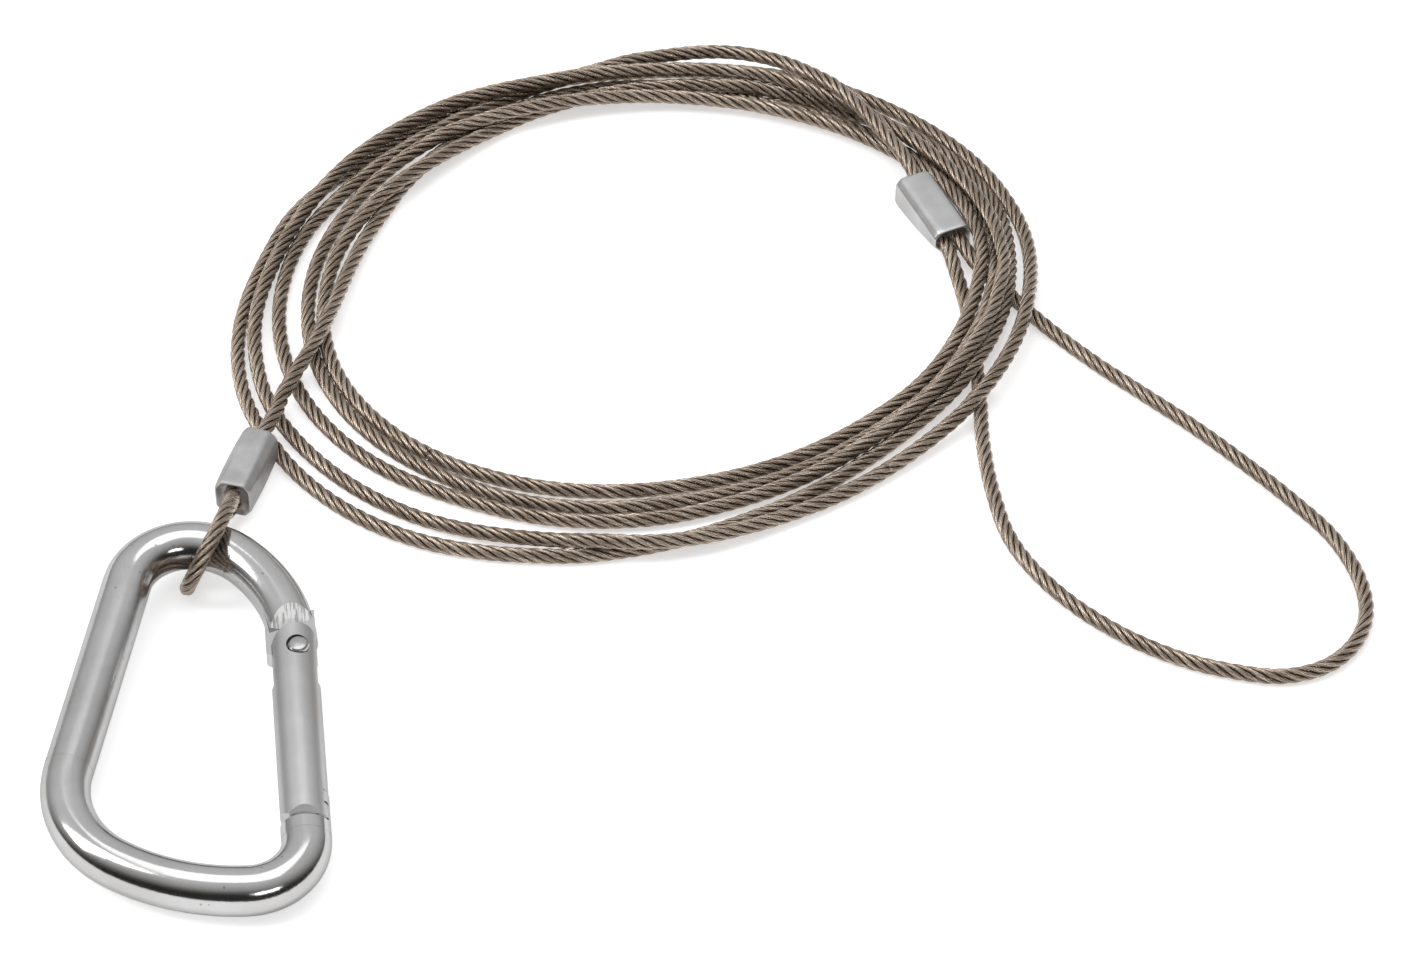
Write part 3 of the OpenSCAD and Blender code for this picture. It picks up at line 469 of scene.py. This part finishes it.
# ------------------------------------------------------------------ aluminium and steel materials
def metal(name, tone, rough_lo, rough_hi, grain=1400.0, grain_bump=0.15, brush=None, brush_bump=0.12, specks=0.0,
          metallic=1.0, warm=(1.0, 0.985, 0.97), blotch_scale=60.0, blotch_amount=0.12, milled=(), polish=False):
    m, nt, sh = material(name)
    obj = coords(nt)
    lo = tuple(tone * (1 - blotch_amount) * w for w in warm)
    hi = tuple(min(1.0, tone * (1 + blotch_amount)) for w in warm)
    blotch = noise(nt, obj, blotch_scale, 5, 0.6)
    col = ramp(nt, blotch, [(0.3, lo), (0.7, hi)])
    fine = noise(nt, obj, grain, 3, 0.6)
    h = math_node(nt, "MULTIPLY", fine, 1.0)
    rough_src = fine
    nrm = bump(nt, h, grain_bump, 0.00004)
    if brush is not None:
        lines = noise(nt, mapping(nt, obj, scale=brush), 1.0, 4, 0.65)
        nrm = bump(nt, lines, brush_bump, 0.00006, nrm)
        rough_src = math_node(nt, "ADD", math_node(nt, "MULTIPLY", fine, 0.4), math_node(nt, "MULTIPLY", lines, 0.6))
        col = mix_col(nt, math_node(nt, "MULTIPLY", lines, 0.22), col, tuple(0.55 * tone * w for w in warm))
    if specks:
        vor = nt.nodes.new("ShaderNodeTexVoronoi")
        vor.inputs["Scale"].default_value = 420
        nt.links.new(obj, vor.inputs["Vector"])
        dot = math_node(nt, "LESS_THAN", vor.outputs["Distance"], 0.10)
        patch = math_node(nt, "GREATER_THAN", noise(nt, obj, 55, 2), 0.52)
        col = mix_col(nt, math_node(nt, "MULTIPLY", math_node(nt, "MULTIPLY", dot, patch), specks), col, (0.05, 0.045, 0.04))
    rough = math_node(nt, "ADD", math_node(nt, "MULTIPLY", rough_src, rough_hi - rough_lo), rough_lo)
    if polish:
        # the bends are worn brighter than the straight spine
        where = nt.nodes.new("ShaderNodeSeparateXYZ")
        nt.links.new(obj, where.inputs[0])
        away = math_node(nt, "ABSOLUTE", math_node(nt, "SUBTRACT", where.outputs[1], 0.002))
        worn = math_node(nt, "MULTIPLY", math_node(nt, "SUBTRACT", away, 0.018), 110.0, clamp=True)
        rough = math_node(nt, "MULTIPLY", rough, math_node(nt, "SUBTRACT", 1.0, math_node(nt, "MULTIPLY", worn, 0.40)))
    if milled:
        # freshly cut faces: brighter, with coarse tool lines across them
        geo = nt.nodes.new("ShaderNodeNewGeometry")
        cut = None
        sep = nt.nodes.new("ShaderNodeSeparateXYZ")
        nt.links.new(obj, sep.inputs[0])
        for facing, y_lo, y_hi in milled:
            dot = nt.nodes.new("ShaderNodeVectorMath")
            dot.operation = "DOT_PRODUCT"
            dot.inputs[1].default_value = facing
            turned = nt.nodes.new("ShaderNodeVectorTransform")
            turned.vector_type = "NORMAL"
            turned.convert_from = "WORLD"
            turned.convert_to = "OBJECT"
            nt.links.new(geo.outputs["True Normal"], turned.inputs[0])
            nt.links.new(turned.outputs[0], dot.inputs[0])
            on = math_node(nt, "GREATER_THAN", dot.outputs["Value"], 0.97)
            on = math_node(nt, "MULTIPLY", on, math_node(nt, "GREATER_THAN", sep.outputs[1], y_lo))
            on = math_node(nt, "MULTIPLY", on, math_node(nt, "LESS_THAN", sep.outputs[1], y_hi))
            cut = on if cut is None else math_node(nt, "MAXIMUM", cut, on)
        tool = noise(nt, mapping(nt, obj, scale=(2300, 260, 260)), 1.0, 3, 0.6)
        col = mix_col(nt, cut, col, ramp(nt, tool, [(0.38, (0.42, 0.41, 0.40)), (0.5, (0.93, 0.93, 0.93)), (0.8, (0.97, 0.97, 0.97))]))
        rough = math_node(nt, "ADD", rough, math_node(nt, "MULTIPLY", cut, 0.25))
        nt.links.new(math_node(nt, "SUBTRACT", metallic, math_node(nt, "MULTIPLY", cut, 0.55)), sh.inputs["Metallic"])
        nrm = bump(nt, math_node(nt, "MULTIPLY", tool, cut), 0.6, 0.00008, nrm)
    nt.links.new(col, sh.inputs["Base Color"])
    sh.inputs["Metallic"].default_value = metallic
    sh.inputs["Specular Tint"].default_value = (0.6, 0.6, 0.6, 1)
    nt.links.new(rough, sh.inputs["Roughness"])
    nt.links.new(nrm, sh.inputs["Normal"])
    return m


BAR = metal("bar_aluminium", 0.50, 0.13, 0.34, brush=(2600, 90, 2600), specks=0.35, blotch_scale=45, polish=True,
            milled=[((0.2, -0.65, 0.73), 0.0152, 0.0192), ((0.2, -0.62, -0.75), 0.0152, 0.0192)])
GATE = metal("gate_aluminium", 0.49, 0.28, 0.48, grain=2200, grain_bump=0.35, brush=(2400, 160, 2400), brush_bump=0.2,
             milled=[((0.0, -0.999, -0.043), -0.026, -0.0185)])
RIVET = metal("rivet_steel", 0.42, 0.16, 0.30, grain=1800)
BRASS = metal("plunger_brass", 0.55, 0.30, 0.5, warm=(1.0, 0.86, 0.62))
SPRING = metal("spring_steel", 0.5, 0.25, 0.4)
FERR1 = metal("ferrule_matte", 0.43, 0.42, 0.62, grain=1500, grain_bump=0.7, blotch_scale=220, blotch_amount=0.16, metallic=0.8)
FERR2 = metal("ferrule_bright", 0.50, 0.24, 0.46, grain=1700, grain_bump=0.4, blotch_scale=160, metallic=0.95)

for n, m in (("carabiner_body", BAR), ("gate", GATE), ("gate_rivet", RIVET), ("gate_plunger", BRASS), ("gate_spring", SPRING)):
    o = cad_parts[n]
    if not o.material_slots:
        o.data.materials.append(m)
    for sl in o.material_slots:
        sl.material = m


# ------------------------------------------------------------------ pressed ferrules
def ferrule(name, mouth, axis, side, up, length, width, height, near, far, mat, barrel=0.03, pinch=0.05):
    """Pressed sleeve: flats with rolled edges, slightly barrelled, rims a little proud of sunk end faces.
    near and far: how much each of the four corners is cut, at the mouth and at the far end."""
    hw, hh = width / 2, height / 2
    per = 8

    def outline(cut):
        a, b, c, d = cut
        pts = [(hw, -hh + d), (hw, hh - a), (hw - a * 0.85, hh), (-hw + b * 0.85, hh),
               (-hw, hh - b), (-hw, -hh + c), (-hw + c * 0.85, -hh), (hw - d * 0.85, -hh)]
        ring = []
        for i, p in enumerate(pts):
            q = pts[(i + 1) % 8]
            for k in range(per):
                w = k / per
                ring.append(((1 - w) * p[0] + w * q[0], (1 - w) * p[1] + w * q[1]))
        R = np.array(ring)
        for _ in range(2):
            R = 0.5 * R + 0.25 * (np.roll(R, 1, 0) + np.roll(R, -1, 0))
        return R

    secs = [(0.9, 0.62), (0.45, 0.80), (0.08, 0.88), (0.0, 0.92), (0.10, 0.965), (0.4, 0.99), (1.0, 1.0)]
    stations = [(s, f) for s, f in secs]
    for k in range(1, 18):
        stations.append((1.0 + (length - 2.0) * k / 18, 1.0 + barrel * math.sin(math.pi * k / 18)))
    stations += [(length - s, f) for s, f in secs[::-1]]
    verts = []
    for s, f in stations:
        w = min(1.0, max(0.0, s / length))
        cut = [(1 - w) ** 1.6 * a + (1 - (1 - w) ** 1.6) * b for a, b in zip(near, far)]
        squeeze = 1.0 - pinch * w * w
        for x, y in outline(cut):
            p = mouth - axis * s + side * (x * f * squeeze) + up * (y * f * squeeze)
            verts.append(tuple(p * MM))
    n = 8 * per
    faces = []
    for i in range(len(stations) - 1):
        for k in range(n):
            faces.append((i * n + k, (i + 1) * n + k, (i + 1) * n + (k + 1) % n, i * n + (k + 1) % n))
    faces.append(tuple(range(n)))
    faces.append(tuple((len(stations) - 1) * n + k for k in range(n - 1, -1, -1)))
    me = bpy.data.meshes.new(name)
    me.from_pydata(verts, [], faces)
    me.polygons.foreach_set("use_smooth", [True] * len(me.polygons))
    me.update()
    me.materials.append(mat)
    o = bpy.data.objects.new(name, me)
    bpy.context.scene.collection.objects.link(o)
    return o


def unit(v):
    return v / np.linalg.norm(v)


up1 = np.array([0.0, 0.0, 1.0])
ax1 = unit(f1_mouth - f1_top)
side1 = unit(np.cross(ax1, up1))
up1 = np.cross(side1, ax1)
fer1 = ferrule("ferrule_carabiner_end_skin", f1_mouth, ax1, side1, up1, F1_LEN, 6.4, 7.2,
               (1.5, 1.2, 1.4, 1.2), (1.1, 1.6, 1.4, 1.2), FERR1)
ax2 = unit(f2_mouth - f2_top)
side2 = unit(f2_side)
up2 = unit(np.cross(side2, ax2))
fer2 = ferrule("ferrule_eye_end_skin", f2_mouth, ax2, side2, up2, F2_LEN, 7.2, 5.8,
               (0.7, 2.7, 1.3, 1.3), (1.3, 0.5, 1.3, 1.3), FERR2, barrel=0.0, pinch=0.0)
for o, n, sl in ((fer1, "ferrule_carabiner_end", "ferrule_matte"), (fer2, "ferrule_eye_end", "ferrule_bright")):
    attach(o, "rope")
    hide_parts(n)

# ------------------------------------------------------------------ the rope, in stretches
def nearest_from(p, lo, hi):
    return lo + int(np.argmin(np.linalg.norm(centre[lo:hi] - np.asarray(p), axis=1)))


N = len(centre)
a_eye = nearest_from(small_eye[-1], 60, 260)
b_loop = nearest_from(f2_top + PAIR * f2_side, N - 900, N - 300)
cuts = [0, a_eye, a_eye + (b_loop - a_eye) // 3, a_eye + 2 * (b_loop - a_eye) // 3, b_loop, N - 1]
names = ["rope_eye_strands", "rope_turns_a", "rope_turns_b", "rope_turns_c", "rope_loop_strands"]
stand = {"rope_eye_strands": ["rope_small_eye"], "rope_turns_a": ["rope_lead", "rope_coil"], "rope_turns_b": ["rope_coil"],
         "rope_turns_c": ["rope_coil", "rope_tail"], "rope_loop_strands": ["rope_large_eye"]}
rope_objs = []
for k, nm in enumerate(names):
    o = rope_mesh(nm, cuts[k], cuts[k + 1])
    o.data.materials.append(ROPE)
    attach(o, "rope")
    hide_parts(*stand[nm])
    first, last = centre[cuts[k]] * MM, centre[cuts[k + 1]] * MM
    rope_objs.append(o)

# ------------------------------------------------------------------ floor and light
m, nt, sh = material("floor_pale")
tone = noise(nt, coords(nt), 6, 2)
nt.links.new(ramp(nt, tone, [(0.0, (0.79, 0.79, 0.79)), (1.0, (0.82, 0.82, 0.82))]), sh.inputs["Base Color"])
sh.inputs["Roughness"].default_value = 0.95
sh.inputs["Emission Color"].default_value = (1, 1, 1, 1)
sh.inputs["Emission Strength"].default_value = 0.50
me = bpy.data.meshes.new("floor")
me.from_pydata([(-3, -3, 0), (3, -3, 0), (3, 3, 0), (-3, 3, 0)], [], [(0, 1, 2, 3)])
floor = bpy.data.objects.new("floor", me)
bpy.context.scene.collection.objects.link(floor)
me.materials.append(m)


def area(name, loc, target, size, power, size_y=None):
    d = bpy.data.lights.new(name, "AREA")
    d.shape = "RECTANGLE"
    d.size = size
    d.size_y = size_y or size
    d.energy = power
    o = bpy.data.objects.new(name, d)
    o.location = loc
    o.rotation_euler = (Vector(target) - Vector(loc)).to_track_quat("-Z", "Y").to_euler()
    bpy.context.scene.collection.objects.link(o)
    return o


aim = (0.06, 0.03, 0)
area("key_left", (-0.85, 0.05, 1.0), aim, 0.45, 8, 0.9)
area("strip_front", (0.35, -0.95, 0.62), aim, 0.55, 1.8, 0.12)
area("top_soft", (0.1, 0.35, 1.5), aim, 1.0, 4.5)
w = bpy.data.worlds.new("studio")
w.use_nodes = True
wt = w.node_tree
bg = wt.nodes["Background"]
tc = wt.nodes.new("ShaderNodeTexCoord")
sp = wt.nodes.new("ShaderNodeSeparateXYZ")
wt.links.new(tc.outputs["Generated"], sp.inputs[0])
lift = math_node(wt, "ADD", math_node(wt, "MULTIPLY", sp.outputs[2], 0.75), math_node(wt, "MULTIPLY", sp.outputs[1], 0.42))
wt.links.new(ramp(wt, lift, [(0.0, (0.035, 0.033, 0.032)), (0.16, (0.16, 0.155, 0.15)), (0.34, (0.46, 0.455, 0.45)),
                             (0.62, (0.78, 0.78, 0.79)), (0.95, (0.92, 0.93, 0.95))]), bg.inputs["Color"])
bg.inputs["Strength"].default_value = 1.0
bpy.context.scene.world = w
bpy.context.scene.view_settings.view_transform = "Standard"
